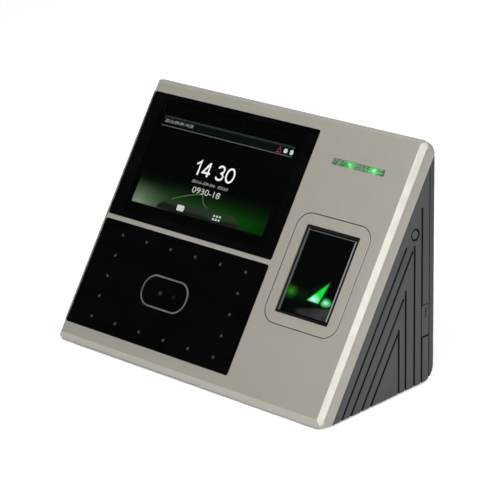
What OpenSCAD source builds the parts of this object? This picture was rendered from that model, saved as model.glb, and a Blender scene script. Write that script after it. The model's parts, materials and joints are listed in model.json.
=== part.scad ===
/* [Case] */
// Overall width
body_w = 193.6; // [190:0.2:197]
// Overall depth, skirt to back plane
body_d = 90.4; // [88:0.2:93]
// Length of the sloping face, from its foot to its top edge
face_len = 156.2; // [155:0.1:158]
// Backward lean of the face from upright, degrees
lean = 33.35; // [32.5:0.05:34]
// Width of the bevel along the face's rim
edge_bevel = 2.67; // [1.5:0.01:3]
// Depth of the silver shell, square to the face
bezel_depth = 10.4; // [9.8:0.1:11]
// Thickness of the silver face
face_t = 3; // [2.8:0.1:3.2]
// Wall thickness of both shells
wall = 2.4; // [2:0.1:2.6]
// Radius of the case's lower back corner
back_corner_r = 8; // [5:0.5:9]
// Height of the rubber feet below the case
foot_h = 0.8; // [0.6:0.1:1.2]

/* [Windows] */
// Left edge of both windows
window_x0 = -93.9; // [-93.9:0.1:-92]
// Right edge of both windows
window_x1 = 28.9; // [27:0.1:30]
// Upper window's lower edge, up the face
screen_s0 = 74.7; // [74:0.1:74.8]
// Upper window's upper edge, up the face
screen_s1 = 148.2; // [147:0.1:148.6]
// Lower window's lower edge, up the face
camera_s0 = 10.1; // [9.5:0.1:11]
// Lower window's upper edge, up the face
camera_s1 = 71.8; // [71:0.1:72]
// Thickness of the window sheets
window_t = 1.5; // [1.2:0.1:1.6]
// How far the windows sit below the face
window_sink = 0.25; // [0.1:0.05:0.4]

/* [Cameras and lights] */
// Width of the oval trim
trim_w = 33.7; // [30:0.1:36]
// Height of the oval trim
trim_h = 18.1; // [16:0.1:20]
// Width of the trim's line
trim_line = 0.9; // [0.8:0.1:1.5]
// Distance between the two camera axes
camera_gap = 10.1; // [9:0.1:12]
// Columns of the light grid, whose edge cells hold lights
light_cols = 6; // [4:1:7]
// Rows of the light grid
light_rows = 5; // [3:1:5]
// Spacing of the light columns
light_dx = 18.56; // [14:0.01:18.6]
// Spacing of the light rows
light_ds = 12; // [9:0.1:12]

/* [Fingerprint sensor] */
// Width of the silver surround
surround_w = 49.6; // [48:0.1:50]
// Height of the silver surround
surround_h = 61.1; // [60:0.1:62]
// Corner radius of the surround
surround_r = 8.5; // [5:0.5:9]
// Width of the fingerprint window
sensor_w = 36; // [34:0.1:37]
// Height of the fingerprint window
sensor_h = 48.6; // [46:0.1:49]

/* [Wall bracket] */
// Width between the bracket's screw holes
bracket_hole_dx = 80; // [60:1:90]
// Height between the bracket's screw holes
bracket_hole_dz = 36; // [24:1:40]
// Diameter of the bracket's screw holes
bracket_hole_d = 4.5; // [4:0.1:5]

/* [Grooves] */
// Width of the side grooves
groove_w = 1.5; // [1:0.1:1.8]
// Depth of the side grooves
groove_t = 0.9; // [0.5:0.1:1.2]

/* [Hidden] */
$fn = 48;
eps = 0.01;
big = 400;

// Case
side_x = body_w / 2;
back_y = body_d / 2;
shell_z = foot_h;
bezel_z = foot_h + 0.5;
crease_s = 3.6;
crease_h = 5.28;
skirt_in = 0.57;
face_y = -back_y - crease_s * sin(lean);
face_z = shell_z + crease_h - crease_s * cos(lean);
shell_seam = 0.5;
cover_seam = 0.8;
cover_t = 3.3;
cover_y = back_y - cover_t;
shell_end_y = cover_y - cover_seam;
rim_corner = 4.5;
rim_deep = 60;
skirt_s = (skirt_in - back_y - face_y) * sin(lean) + (bezel_z - face_z) * cos(lean);
window_gap = 0.15;
ledge = 3;
bar_s = (screen_s0 + camera_s1) / 2;

// Silicone feet
foot_r = 6;
foot_x = 76;
foot_ys = [-22, 29];
foot_sink = 0.6;

// Modules behind the face, as depths square to it
glass_d = window_sink + window_t;
touch_t = 0.7;
lcd_d = glass_d + touch_t + 0.1;
lcd_t = 3.2;
bracket_d = lcd_d + lcd_t + 0.15;
bracket_t = 0.8;
shroud_d = glass_d + 0.1;
shroud_t = 2.6;
board_t = 1.2;
light_board_d = 6.4;
lamp_r = 1.5;
lamp_tip_d = 2.1;
boss_r = 2.4;
pilot_r = 1.1;
pilot_d = face_t - 0.7;

// Screen, cameras and lights
screen_x = -31.6;
lcd_w = 106;
lcd_h = 66;
lcd_gap = 0.1;
screen_s = screen_s1 - ledge - lcd_gap - lcd_h / 2;
window_x = (window_x0 + window_x1) / 2;
light_s = (camera_s0 + camera_s1) / 2;
camera_x = window_x;
camera_s = light_s - 0.35;
lens_tip_d = glass_d + 0.2;

// Indicator
indicator_x = 61.6;
indicator_s = 133.8;
indicator_w = 35.2;
indicator_h = 3.6;
indicator_led_dx = 8.2;
indicator_board_d = 5.6;
trim_sunk = 0.3;

// Sensor
sensor_x = 61.4;
sensor_s = 74.1;
prism_rim = 1.4;
prism_chamfer = 1;
sensor_deep = 19;
surround_back_d = face_t + 1.4;
prism_w = sensor_w - 2 * prism_rim - 0.4;
prism_h = sensor_h - 2 * prism_rim - 0.4;
prism_top_d = 0.7;

// Boards and sockets
board_y = 14;
main_t = 1.6;
socket_y0 = board_y + main_t;
bay_x = 58;
bay_z0 = 14;
bay_z1 = 50;
bay_floor_y = 29;
bay_wall = 1.6;
socket_z = 31;
jack_x = -42;
inlet_x = -22;
header_x = 18;
header_ways = 8;
header_pitch = 5;
header_w = header_ways * header_pitch + 2;
header_h = 10;
jack_w = 16;
jack_h = 13.5;
inlet_w = 9;
inlet_h = 11;
inlet_bore_r = 3.2;
inlet_bore_t = 9.5;
inlet_pin_r = 1;

// Wall bracket and the slideway that holds it
way_x = 61;
way_y = 41.2;
way_floor = 2;
way_z0 = 58;
way_z1 = 112.3;
sheet_t = 1.2;
lip_t = 1.1;
lip_in = 2.3;
slide_gap = 0.3;
flange_y = back_y - lip_t - slide_gap - sheet_t;
bracket_z = (way_z0 + way_z1 - slide_gap) / 2;

// Side fittings
button_y = 29.7;
button_z = 84.7;
button_r = 2.3;
button_seat_r = 3.5;
button_gap = 0.07;
usb_y = 38.25;
usb_z = 35.3;
usb_w = 5.7;
usb_h = 13.1;
usb_mouth_x = side_x - 3.7;
usb_tongue_in = 4.7;
usb_deep = 14;
flap_w = 5.5;
flap_top_z = 44;
flap_t = 1.8;
hinge_x = side_x - 1.75;
hinge_z = 27.9;
hinge_r = 0.6;
hinge_gap = 0.05;
upright_ys = [16.44, 22.08, 29.19, 35.33];
upright_tops = [36.5, 56.5, 79, 98];
slant_depths = [35.3, 29.3, 22.3, 16.4];
slant_tops = [34.5, 52.5, 76.5, 79.5];

button_board_x = 81;
button_foot_x = 85;
button_post_x = 87.6;

// Tamper switch
tamper_board_y = 26.8;
tamper_foot_y = 31.4;
tamper_x = 30;
tamper_z = 80;
tamper_r = 1.5;

// Case screws
screw_x = 91;
screw_top_z = 117;
screw_low_z = 13.5;
screw_r = 1.5;
screw_boss_r = 3.6;
head_r = 2.75;
head_t = 1.6;
lug_x = 60;
lug_s = 10.2;
lug_d = bezel_depth + shell_seam;
driver_way = 12;
lug_t = 2.4;
small_r = 1;
small_head_r = 1.9;
small_head_t = 1.3;

// Places of the screws that hold the boards
screen_screw_xs = [-72, 8];
screen_screw_ss = [bar_s, screen_s1 + 1.2];
light_screws = [[-52, 9.6], [-12, 9.6], [-40, bar_s], [-24, bar_s]];
indicator_screw_dx = 23;
main_screws = [[-55, 55], [55, 55], [-40, 8.6], [40, 8.6]];
tamper_screws = [[tamper_x - 7.5, tamper_z - 5.5], [tamper_x + 7.5, tamper_z + 5.5]];
button_posts = [[26, 79.2], [34.4, 90.4]];
usb_posts = [[32, 25.6], [32, 44.4]];

// A point of the case's side view at height s up the face and depth d behind it
function face_pt(s, d) = [
    face_y + s * sin(lean) + d * cos(lean),
    face_z + s * cos(lean) - d * sin(lean)
];
// Height up the face at which depth d comes to the plane y
function s_at_y(y, d) = (y - face_y - d * cos(lean)) / sin(lean);
// Height up the face at which depth d comes to the level z
function s_at_z(z, d) = (z - face_z + d * sin(lean)) / cos(lean);
// Depth behind the face at which height s comes to the plane y
function d_at_y(y, s) = (y - face_y - s * sin(lean)) / cos(lean);

// Places children drawn as (x, height up the face, outward)
module on_face() {
    translate([0, face_y, face_z]) rotate([90 - lean, 0, 0]) children();
}

// A slab of a plan drawn on the face, from depth d0 to depth d1
module face_slab(d0, d1) {
    on_face() translate([0, 0, -d1]) linear_extrude(d1 - d0) children();
}

// A side view drawn as (y, z), drawn out over the width w about x
module across(w, x = 0) {
    translate([x - w / 2, 0, 0]) rotate([90, 0, 90]) linear_extrude(w) children();
}

// A rectangle with round corners, centred
module soft_rect(w, h, r) {
    square([w - 2 * r, h], center = true);
    square([w, h - 2 * r], center = true);
    for (i = [-1, 1], j = [-1, 1])
        translate([i * (w / 2 - r), j * (h / 2 - r)]) circle(r);
}

// A rectangle with round corners between two corner points
module soft_box(x0, y0, x1, y1, r) {
    translate([(x0 + x1) / 2, (y0 + y1) / 2]) soft_rect(x1 - x0, y1 - y0, r);
}

// A box between two corners
module block(a, b) {
    translate(a) cube(b - a);
}

// A cylinder along +Y from y0 to y1
module y_rod(x, z, r, y0, y1) {
    translate([x, y0, z]) rotate([-90, 0, 0]) cylinder(h = y1 - y0, r = r);
}

// A cylinder along +X from x0 to x1
module x_rod(y, z, r, x0, x1) {
    translate([x0, y, z]) rotate([0, 90, 0]) cylinder(h = x1 - x0, r = r);
}

// A cylinder square to the face at (x, s), from depth d0 to depth d1
module face_rod(x, s, r, d0, d1) {
    on_face() translate([x, s, -d1]) cylinder(h = d1 - d0, r = r);
}

// Side view of the silver shell, filled, with a bevel at the top
module bezel_side() {
    c = edge_bevel;
    top_s = face_len;
    foot_s = s_at_z(bezel_z, bezel_depth);
    back_s = s_at_y(back_y, bezel_depth);
    polygon([
        [-back_y + skirt_in, bezel_z],
        face_pt(crease_s, 0),
        face_pt(top_s - c, 0),
        face_pt(top_s, c),
        face_pt(top_s, d_at_y(back_y, top_s)),
        face_pt(back_s, bezel_depth),
        face_pt(foot_s, bezel_depth)
    ]);
}

// Sides of the silver shell: a bevel along each, and the four round corners
module bezel_rim() {
    c = edge_bevel;
    x = side_x;
    over = 0.3;
    intersection() {
        face_slab(-1, rim_deep)
            soft_box(-x, skirt_s - over, x, face_len + over, rim_corner);
        on_face() translate([0, face_len + 5, 0]) rotate([90, 0, 0])
            linear_extrude(face_len + 20) polygon([
                [-x - 1, -rim_deep - 1], [x + 1, -rim_deep - 1], [x + 1, -c - 1], [x - c, 0],
                [-x + c, 0], [-x - 1, -c - 1]
            ]);
    }
}

// Side view of the hollow in the silver shell
module bezel_hollow_side() {
    low_z = bezel_z + wall;
    top_s = face_len - wall;
    in_y = back_y - wall;
    polygon([
        face_pt(s_at_z(low_z, face_t), face_t),
        face_pt(top_s, face_t),
        face_pt(top_s, d_at_y(in_y, top_s)),
        [in_y, face_pt(top_s, 0)[1] - 30],
        [in_y, low_z]
    ]);
}

// Side view of the dark case behind the silver shell, filled
module case_side() {
    d = bezel_depth + shell_seam;
    r = back_corner_r;
    difference() {
        polygon([
            face_pt(s_at_z(shell_z, d), d),
            face_pt(s_at_y(back_y, d), d),
            [back_y, shell_z]
        ]);
        difference() {
            translate([back_y - r, shell_z - eps]) square([r + eps, r + eps]);
            translate([back_y - r, shell_z + r]) circle(r, $fn = 96);
        }
    }
}

// Cross-head screw pointing along -Z, the underside of its head at the origin
module screw(len, r, head_r, head_t) {
    difference() {
        union() {
            cylinder(h = head_t, r = head_r);
            translate([0, 0, -len]) cylinder(h = len, r = r);
        }
        for (a = [0, 90])
            rotate([0, 0, a]) translate([-head_r * 0.6, -0.3, head_t - 0.7])
                cube([head_r * 1.2, 0.6, 1]);
    }
}

// Screw whose head bears on the plane y, pointing along +Y or, with back, along -Y
module y_screw(x, z, y, len, back = false, r = small_r, hr = small_head_r, ht = small_head_t) {
    translate([x, y, z]) rotate([back ? -90 : 90, 0, 0]) screw(len, r, hr, ht);
}

// Screw whose head bears on the depth d behind the face, pointing to the front
module face_screw(x, s, d, len, r = small_r, hr = small_head_r, ht = small_head_t) {
    on_face() translate([x, s, -d]) mirror([0, 0, 1]) screw(len, r, hr, ht);
}

// Thin flat cable along a route drawn in the side view
module flat_cable(route, w, x, t = 0.3) {
    across(w, x) {
        for (i = [0 : len(route) - 2]) {
            a = route[i];
            b = route[i + 1];
            n = [a[1] - b[1], b[0] - a[0]] / norm(b - a) * t / 2;
            polygon([a - n, b - n, b + n, a + n]);
        }
        for (i = [1 : len(route) - 2]) translate(route[i]) circle(d = 1.2 * t);
    }
}

// Close-wound compression spring along +Z, as one swept body
module coil_spring(r, wire_r, h, turns) {
    sides = 8;
    per_turn = 20;
    steps = turns * per_turn;
    function ring(i) = [
        for (k = [0 : sides - 1])
            let (
                a = 360 * i / per_turn,
                b = 360 * k / sides,
                q = r + wire_r * cos(b),
                z = wire_r + (h - 2 * wire_r) * i / steps + wire_r * sin(b)
            )
            [q * cos(a), q * sin(a), z]
    ];
    points = [for (i = [0 : steps]) each ring(i)];
    skin = [
        for (i = [0 : steps - 1], k = [0 : sides - 1])
            let (k2 = (k + 1) % sides)
            [i * sides + k, i * sides + k2, (i + 1) * sides + k2, (i + 1) * sides + k]
    ];
    first = [for (k = [sides - 1 : -1 : 0]) k];
    last = [for (k = [0 : sides - 1]) steps * sides + k];
    polyhedron(points, concat([first], [for (f = skin) [f[3], f[2], f[1], f[0]]], [last]),
        convexity = 8);
}

// Plan of a window, less a gap all round
module window_plan(s0, s1, gap = 0) {
    soft_box(window_x0 + gap, s0 + gap, window_x1 - gap, s1 - gap, max(0.5, 1.2 - gap));
}

// Places of the lights: the edge cells of the grid
function light_places() = [
    for (i = [0 : light_cols - 1], j = [0 : light_rows - 1])
        if (i == 0 || j == 0 || i == light_cols - 1 || j == light_rows - 1)
            [
                window_x + (i - (light_cols - 1) / 2) * light_dx,
                light_s + (j - (light_rows - 1) / 2) * light_ds
            ]
];

module front_bezel() {
    color("#b3aea1") difference() {
        union() {
            difference() {
                intersection() {
                    across(body_w + 2) bezel_side();
                    bezel_rim();
                }
                across(body_w - 2 * wall) bezel_hollow_side();
            }
            bezel_bosses();
        }
        for (w = [[screen_s0, screen_s1], [camera_s0, camera_s1]]) {
            face_slab(-1, glass_d) window_plan(w[0], w[1]);
            face_slab(0, face_t + eps) window_plan(w[0], w[1], ledge);
        }
        face_slab(-1, face_t + eps) translate([sensor_x, sensor_s])
            soft_rect(surround_w, surround_h, surround_r);
        face_slab(-1, face_t + eps) translate([indicator_x, indicator_s])
            soft_rect(indicator_w, indicator_h, 0.5);
        for (x = screen_screw_xs, s = screen_screw_ss)
            face_rod(x, s, pilot_r, pilot_d, bracket_d);
        for (p = light_screws) face_rod(p[0], p[1], pilot_r, pilot_d, light_board_d);
        for (i = [-1, 1])
            face_rod(indicator_x + i * indicator_screw_dx, indicator_s, pilot_r, pilot_d,
                indicator_board_d);
        for (x = [-lug_x, lug_x]) face_rod(x, lug_s, screw_r + 0.1, face_t, bezel_depth + 1);
        for (x = [-screw_x, screw_x]) y_rod(x, screw_top_z, screw_r + 0.1, 34, back_y);
    }
}

// Bosses that stand behind the silver face
module bezel_bosses() {
    for (x = screen_screw_xs, s = screen_screw_ss)
        face_rod(x, s, boss_r, face_t - eps, bracket_d - 0.05);
    for (p = light_screws) face_rod(p[0], p[1], boss_r, face_t - eps, light_board_d - 0.05);
    for (i = [-1, 1])
        face_rod(indicator_x + i * indicator_screw_dx, indicator_s, boss_r, face_t - eps,
            indicator_board_d - 0.05);
    for (x = [-lug_x, lug_x]) face_rod(x, lug_s, 2.6, face_t - eps, bezel_depth);
    intersection() {
        for (x = [-screw_x, screw_x]) y_rod(x, screw_top_z, screw_boss_r, 20, shell_end_y);
        face_slab(face_t / 2, bezel_depth - 0.2) translate([-side_x, 0])
            square([body_w, face_len - 1]);
    }
}

// Grooves cut into the +X side of the case
module side_grooves() {
    x0 = side_x - groove_t;
    for (i = [0 : len(upright_ys) - 1])
        block(
            [x0, upright_ys[i] - groove_w / 2, -1],
            [side_x + 1, upright_ys[i] + groove_w / 2, upright_tops[i]]
        );
    for (i = [0 : len(slant_depths) - 1]) {
        d = slant_depths[i];
        top_s = s_at_z(slant_tops[i], d);
        on_face() block(
            [x0, -20, -d - groove_w / 2],
            [side_x + 1, top_s, -d + groove_w / 2]
        );
    }
}

// Walls and base of the dark case, open to the front and back
module shell_walls() {
    in_x = side_x - wall;
    difference() {
        intersection() {
            across(body_w) case_side();
            block([-side_x, -back_y, 0], [side_x, shell_end_y, big]);
        }
        block([-in_x, -big, shell_z + wall], [in_x, big, big]);
    }
}

// Tongue that steps forward inside one side of the silver shell
module shell_tongue() {
    d = bezel_depth + shell_seam;
    in_x = side_x - wall;
    intersection() {
        union() {
            on_face() block([in_x - 1.6, 20, -d - 4], [in_x - 0.2, 112, -d + 3.5]);
            on_face() block([in_x - 1.6, 20, -d - 4], [in_x + 0.2, 112, -d - 0.1]);
        }
        block([0, -back_y, 0], [side_x, shell_end_y, big]);
    }
}

module rear_shell() {
    color("#4c4d4f") difference() {
        union() {
            shell_walls();
            shell_tongue();
            mirror([1, 0, 0]) shell_tongue();
            shell_posts();
            // Lugs that take the silver shell's screws
            for (x = [-lug_x, lug_x]) intersection() {
                face_slab(lug_d, lug_d + lug_t) soft_box(x - 5, -30, x + 5, lug_s + 5, 3);
                block([-side_x, -back_y, shell_z + 0.1], [side_x, back_y, 60]);
            }
            // Thin line of the base below the silver skirt
            block([-side_x + 9, -back_y + 1.2, shell_z], [side_x - 5, -30, bezel_z - 0.02]);
        }
        side_grooves();
        mirror([1, 0, 0]) side_grooves();
        // Screw holes through the lugs, and the driver's way to them through the base
        for (x = [-lug_x, lug_x]) {
            face_rod(x, lug_s, screw_r + 0.15, lug_d - 1, lug_d + 4);
            face_rod(x, lug_s, head_r + 0.3, lug_d + lug_t, lug_d + lug_t + driver_way);
        }
        for (x = [-screw_x, screw_x])
            y_rod(x, screw_low_z, screw_r + 0.1, shell_end_y - 10, shell_end_y + 1);
        // Seat and bore of the power button
        x_rod(button_y, button_z, button_seat_r, side_x - 0.9, side_x + 1);
        x_rod(button_y, button_z, button_r + button_gap, side_x - 10, side_x + 1);
        // Pocket of the socket cover, open towards the back seam
        block(
            [side_x - wall - 3, usb_y - flap_w / 2 - 0.3, hinge_z - 1.75 - 0.3],
            [side_x + 1, shell_end_y + 1, flap_top_z + 0.35]
        );
        hinge_bore();
        // Way out for the cables, under the socket bay
        block([-18, 31, -1], [18, shell_end_y + 1, shell_z + wall + 1]);
        // Sinks for the feet
        for (i = [-1, 1], y = foot_ys)
            translate([i * foot_x, y, -1]) cylinder(h = 1 + shell_z + foot_sink, r = foot_r + 0.1);
        speaker_slots();
    }
}

// Bore of the cover's hinge pin in the shell
module hinge_bore() {
    y_rod(hinge_x, hinge_z, hinge_r + 0.02, 33.4, usb_y);
}

// Posts that stand on the inside of the case
module shell_posts() {
    in_x = side_x - wall;
    for (x = [-screw_x, screw_x]) y_rod(x, screw_low_z, screw_boss_r, 30, shell_end_y);
    for (p = button_posts) x_rod(p[0], p[1], 1.8, button_board_x + board_t, in_x + 0.2);
    for (p = usb_posts) x_rod(p[0], p[1], 1.8, usb_mouth_x - usb_deep, in_x + 0.2);
    block([in_x - 1.6, 32.8, hinge_z - 1.6], [in_x + 0.2, usb_y - flap_w / 2 - 0.3, hinge_z + 1.6]);
}

// Slots in front of the speaker, in the flat triangle of the -X side
module speaker_slots() {
    for (i = [0 : 4])
        block([-side_x - 1, 1.5 + 3 * i, 5], [-side_x + wall + 1, 2.9 + 3 * i, 8 + 4.2 * i]);
}

module rear_cover() {
    color("#434446") difference() {
        union() {
            difference() {
                union() {
                    intersection() {
                        across(body_w) case_side();
                        block([-side_x, cover_y, 0], [side_x, back_y, big]);
                    }
                    intersection() {
                        across(body_w) case_side();
                        block([-way_x - 2.5, way_y - way_floor, 3.4], [way_x + 2.5, cover_y + 1, big]);
                    }
                    // Ribs that locate the cover between the case's sides
                    for (i = [-1, 1])
                        translate([i * (side_x - wall - 1), 0, 0])
                            block([-0.8, way_y - way_floor, 55], [0.8, cover_y + 1, 74]);
                    bay_tub();
                    for (p = main_screws) y_rod(p[0], p[1], 3, board_y + main_t, way_y - 1);
                    for (p = tamper_screws) y_rod(p[0], p[1], 2.2, tamper_board_y + board_t, way_y - 1);
                }
                // Slideway for the wall bracket
                block([-way_x, way_y, -1], [way_x, back_y + 1, way_z1]);
                bay_hollow();
            }
            for (i = [-1, 1]) mirrored(i) {
                block([way_x - lip_in, back_y - lip_t, way_z0], [way_x + 0.5, back_y, way_z1 + 0.5]);
                block([way_x - 3.4, way_y - 0.5, way_z0], [way_x + 0.5, flange_y - slide_gap, way_z1 + 0.5]);
            }
        }
        for (x = [-screw_x, screw_x], z = [screw_low_z, screw_top_z]) {
            y_rod(x, z, screw_r + 0.2, cover_y - 1, back_y + 1);
            y_rod(x, z, head_r + 0.3, back_y - head_t - 0.2, back_y + 1);
        }
        for (p = main_screws) y_rod(p[0], p[1], pilot_r, board_y, board_y + main_t + 9);
        for (p = tamper_screws)
            y_rod(p[0], p[1], pilot_r, tamper_board_y, tamper_board_y + board_t + 7);
        y_rod(tamper_x, tamper_z, tamper_r + 0.06, way_y - way_floor - 1, way_y + 1);
        y_rod(hinge_x, hinge_z, hinge_r + 0.02, cover_y - 1, cover_y + 1.2);
    }
}

// Mirrors children to the other side for i = -1
module mirrored(i) {
    if (i < 0) mirror([1, 0, 0]) children();
    else children();
}

// Sunken bay for the sockets, with the cables' way out below it
module bay_tub() {
    w = bay_wall;
    block(
        [-bay_x - w, bay_floor_y - w, bay_z0 - w],
        [bay_x + w, way_y - 0.5, bay_z1 + w]
    );
    block([-17.6, 31.4, shell_z + 0.1], [17.6, way_y - 0.5, bay_z0]);
}

module bay_hollow() {
    block([-bay_x, bay_floor_y, bay_z0], [bay_x, back_y, bay_z1]);
    block([-16, 33, -1], [16, back_y, bay_z0 + 1]);
    for (s = [[jack_x, jack_w, jack_h], [inlet_x, inlet_w, inlet_h], [header_x, header_w, header_h]])
        block(
            [s[0] - s[1] / 2 - 0.15, bay_floor_y - 5, socket_z - s[2] / 2 - 0.15],
            [s[0] + s[1] / 2 + 0.15, bay_floor_y + 1, socket_z + s[2] / 2 + 0.15]
        );
}

module screen_window() {
    color("#0b0c0d") face_slab(window_sink, glass_d)
        window_plan(screen_s0, screen_s1, window_gap);
}

module touch_panel() {
    color("#1c2426") face_slab(glass_d, glass_d + touch_t) translate([screen_x, screen_s])
        soft_rect(lcd_w + 1, lcd_h, 1);
}

module screen_module() {
    color("#2a2f33") face_slab(lcd_d, lcd_d + lcd_t) translate([screen_x, screen_s])
        soft_rect(lcd_w, lcd_h, 0.8);
}

module display_bracket() {
    color("#9ea2a5") difference() {
        face_slab(bracket_d, bracket_d + bracket_t) union() {
            soft_box(-86, 77.2, 22.8, 147.2, 2);
            for (x = screen_screw_xs) soft_box(x - 4, bar_s - 2.8, x + 4, screen_s1 + 4, 1.5);
        }
        for (x = screen_screw_xs, s = screen_screw_ss)
            face_rod(x, s, small_r + 0.15, bracket_d - 1, bracket_d + 2);
    }
}

// Plan of the oval trim's outer edge, less an inset
module trim_plan(inset = 0) {
    translate([camera_x, camera_s])
        soft_rect(trim_w - 2 * inset, trim_h - 2 * inset, trim_h * 0.46 - inset);
}

module camera_window() {
    color("#0b0c0d") difference() {
        face_slab(window_sink, glass_d) window_plan(camera_s0, camera_s1, window_gap);
        face_slab(window_sink - 1, window_sink + trim_sunk + 0.02) difference() {
            trim_plan(-0.03);
            trim_plan(trim_line + 0.03);
        }
    }
}

module camera_trim() {
    color("#b9bcbd") face_slab(window_sink, window_sink + trim_sunk) difference() {
        trim_plan();
        trim_plan(trim_line);
    }
}

module light_shroud() {
    color("#161718") difference() {
        face_slab(shroud_d, shroud_d + shroud_t) window_plan(camera_s0, camera_s1, ledge + 0.2);
        for (p = light_places()) face_rod(p[0], p[1], lamp_r + 0.25, 0, 8);
        for (i = [-1, 1]) face_rod(camera_x + i * camera_gap / 2, camera_s, 3.4, 0, 8);
    }
}

module light_board() {
    color("#1f4a33") difference() {
        face_slab(light_board_d, light_board_d + board_t) union() {
            soft_box(window_x0 + 4, camera_s0 + 4, window_x1 - 4, camera_s1 - 4, 2);
            for (p = light_screws)
                translate(p) soft_box(-3, p[1] < light_s ? -2.8 : -8, 3, p[1] < light_s ? 8 : 2.6, 1);
        }
        for (p = light_screws) face_rod(p[0], p[1], small_r + 0.15, 5, 9);
    }
}

module infrared_leds() {
    color("#5a5560") for (p = light_places()) {
        face_rod(p[0], p[1], lamp_r, lamp_tip_d + lamp_r, light_board_d);
        on_face() translate([p[0], p[1], -lamp_tip_d - lamp_r]) sphere(lamp_r);
    }
}

// One camera: square holder, threaded barrel and its front lens
module camera(x) {
    difference() {
        union() {
            face_slab(light_board_d - 1.6, light_board_d) translate([x, camera_s])
                soft_rect(8.4, 8.4, 0.6);
            face_rod(x, camera_s, 3.1, lens_tip_d, light_board_d - 1.5);
        }
        face_rod(x, camera_s, 2.1, 0, lens_tip_d + 0.7);
    }
    on_face() translate([x, camera_s, -lens_tip_d - 3.2]) intersection() {
        sphere(2.9);
        cylinder(h = 5, r = 2.05);
    }
}

module color_camera() {
    color("#202226") camera(camera_x - camera_gap / 2);
}

module infrared_camera() {
    color("#1c1a1f") camera(camera_x + camera_gap / 2);
}

module indicator_lens() {
    color("#2fbf6b") union() {
        face_slab(0.2, face_t) translate([indicator_x, indicator_s])
            soft_rect(indicator_w - 0.2, indicator_h - 0.2, 0.4);
        face_slab(face_t, face_t + 1) translate([indicator_x, indicator_s])
            soft_rect(indicator_w + 3, indicator_h + 3, 1);
    }
}

module indicator_board() {
    color("#1f4a33") difference() {
        face_slab(indicator_board_d, indicator_board_d + board_t)
            translate([indicator_x, indicator_s])
                soft_rect(2 * indicator_screw_dx + 5.2, 9, 1);
        for (i = [-1, 1])
            face_rod(indicator_x + i * indicator_screw_dx, indicator_s, small_r + 0.15, 4, 9);
    }
}

module indicator_leds() {
    color("#d8f5dc") for (i = [-1, 1])
        face_slab(indicator_board_d - 1.3, indicator_board_d)
            translate([indicator_x + i * indicator_led_dx, indicator_s]) soft_rect(3.4, 2.8, 0.3);
}

module sensor_surround() {
    color("#b3aea1") difference() {
        union() {
            face_slab(0, face_t) translate([sensor_x, sensor_s])
                soft_rect(surround_w - 0.5, surround_h - 0.5, surround_r - 0.25);
            face_slab(face_t, surround_back_d) translate([sensor_x, sensor_s])
                soft_rect(surround_w + 6, surround_h + 6, surround_r + 1);
        }
        face_slab(-1, 6) translate([sensor_x, sensor_s]) soft_rect(sensor_w, sensor_h, 0.8);
    }
}

module sensor_housing() {
    color("#141516") difference() {
        union() {
            face_slab(0.5, sensor_deep) translate([sensor_x, sensor_s])
                soft_rect(sensor_w - 0.3, sensor_h - 0.3, 0.7);
            face_slab(surround_back_d, surround_back_d + 1.6) translate([sensor_x, sensor_s])
                soft_rect(sensor_w + 6, sensor_h + 7, 2);
        }
        face_slab(-1, sensor_deep - 1.4) translate([sensor_x, sensor_s])
            soft_rect(prism_w + 0.3, prism_h + 0.3, 0.4);
    }
}

module sensor_prism() {
    c = prism_chamfer;
    h = prism_h / 2;
    w = prism_w / 2;
    top = -prism_top_d;
    color("#39433f") on_face() translate([sensor_x, sensor_s, 0]) intersection() {
        translate([-w, 0, 0]) rotate([90, 0, 90]) linear_extrude(prism_w)
            polygon([
                [-h + c, top], [h - c, top], [h, top - c], [h, top - 2.5],
                [-h + 10.5, top - 12.3], [-h, top - 12.3], [-h, top - c]
            ]);
        translate([0, h, 0]) rotate([90, 0, 0]) linear_extrude(prism_h)
            polygon([
                [-w + c, top], [w - c, top], [w, top - c], [w, -15], [-w, -15], [-w, top - c]
            ]);
    }
}

module sensor_lights() {
    s0 = sensor_s - prism_h / 2;
    color("#3fae6a") union() {
        face_slab(14.4, 15.4) translate([sensor_x, s0 + 4.6]) square([30, 8], center = true);
        for (i = [-1 : 1])
            face_slab(13.4, 14.4) translate([sensor_x + 9 * i, s0 + 4.6])
                square([3, 2.6], center = true);
    }
}

module sensor_camera() {
    s = sensor_s + 8.9;
    color("#202226") union() {
        face_slab(16.2, sensor_deep - 1.4) translate([sensor_x, s]) square([14, 14], center = true);
        face_slab(14.6, 16.2) translate([sensor_x, s]) square([8, 8], center = true);
        face_rod(sensor_x, s, 3, 10.6, 14.6);
    }
}

module main_board() {
    color("#1f4a33") difference() {
        block([-78, board_y, 4.6], [68, board_y + main_t, 59]);
        for (p = main_screws) y_rod(p[0], p[1], small_r + 0.15, board_y - 1, board_y + 3);
    }
}

module processor_shield() {
    color("#a9adb0") difference() {
        block([-20, board_y - 2.8, 20], [20, board_y, 50]);
        block([-19.6, board_y - 2.4, 20.4], [19.6, board_y + 1, 49.6]);
    }
}

module lock_relay() {
    color("#2b4f8c") block([-48, board_y - 15, 30], [-29, board_y, 45.5]);
}

module clock_battery() {
    color("#c3c6c8") union() {
        y_rod(-60, 35, 10, board_y - 3.8, board_y - 0.6);
        y_rod(-60, 35, 8.6, board_y - 0.6, board_y);
    }
}

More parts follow.
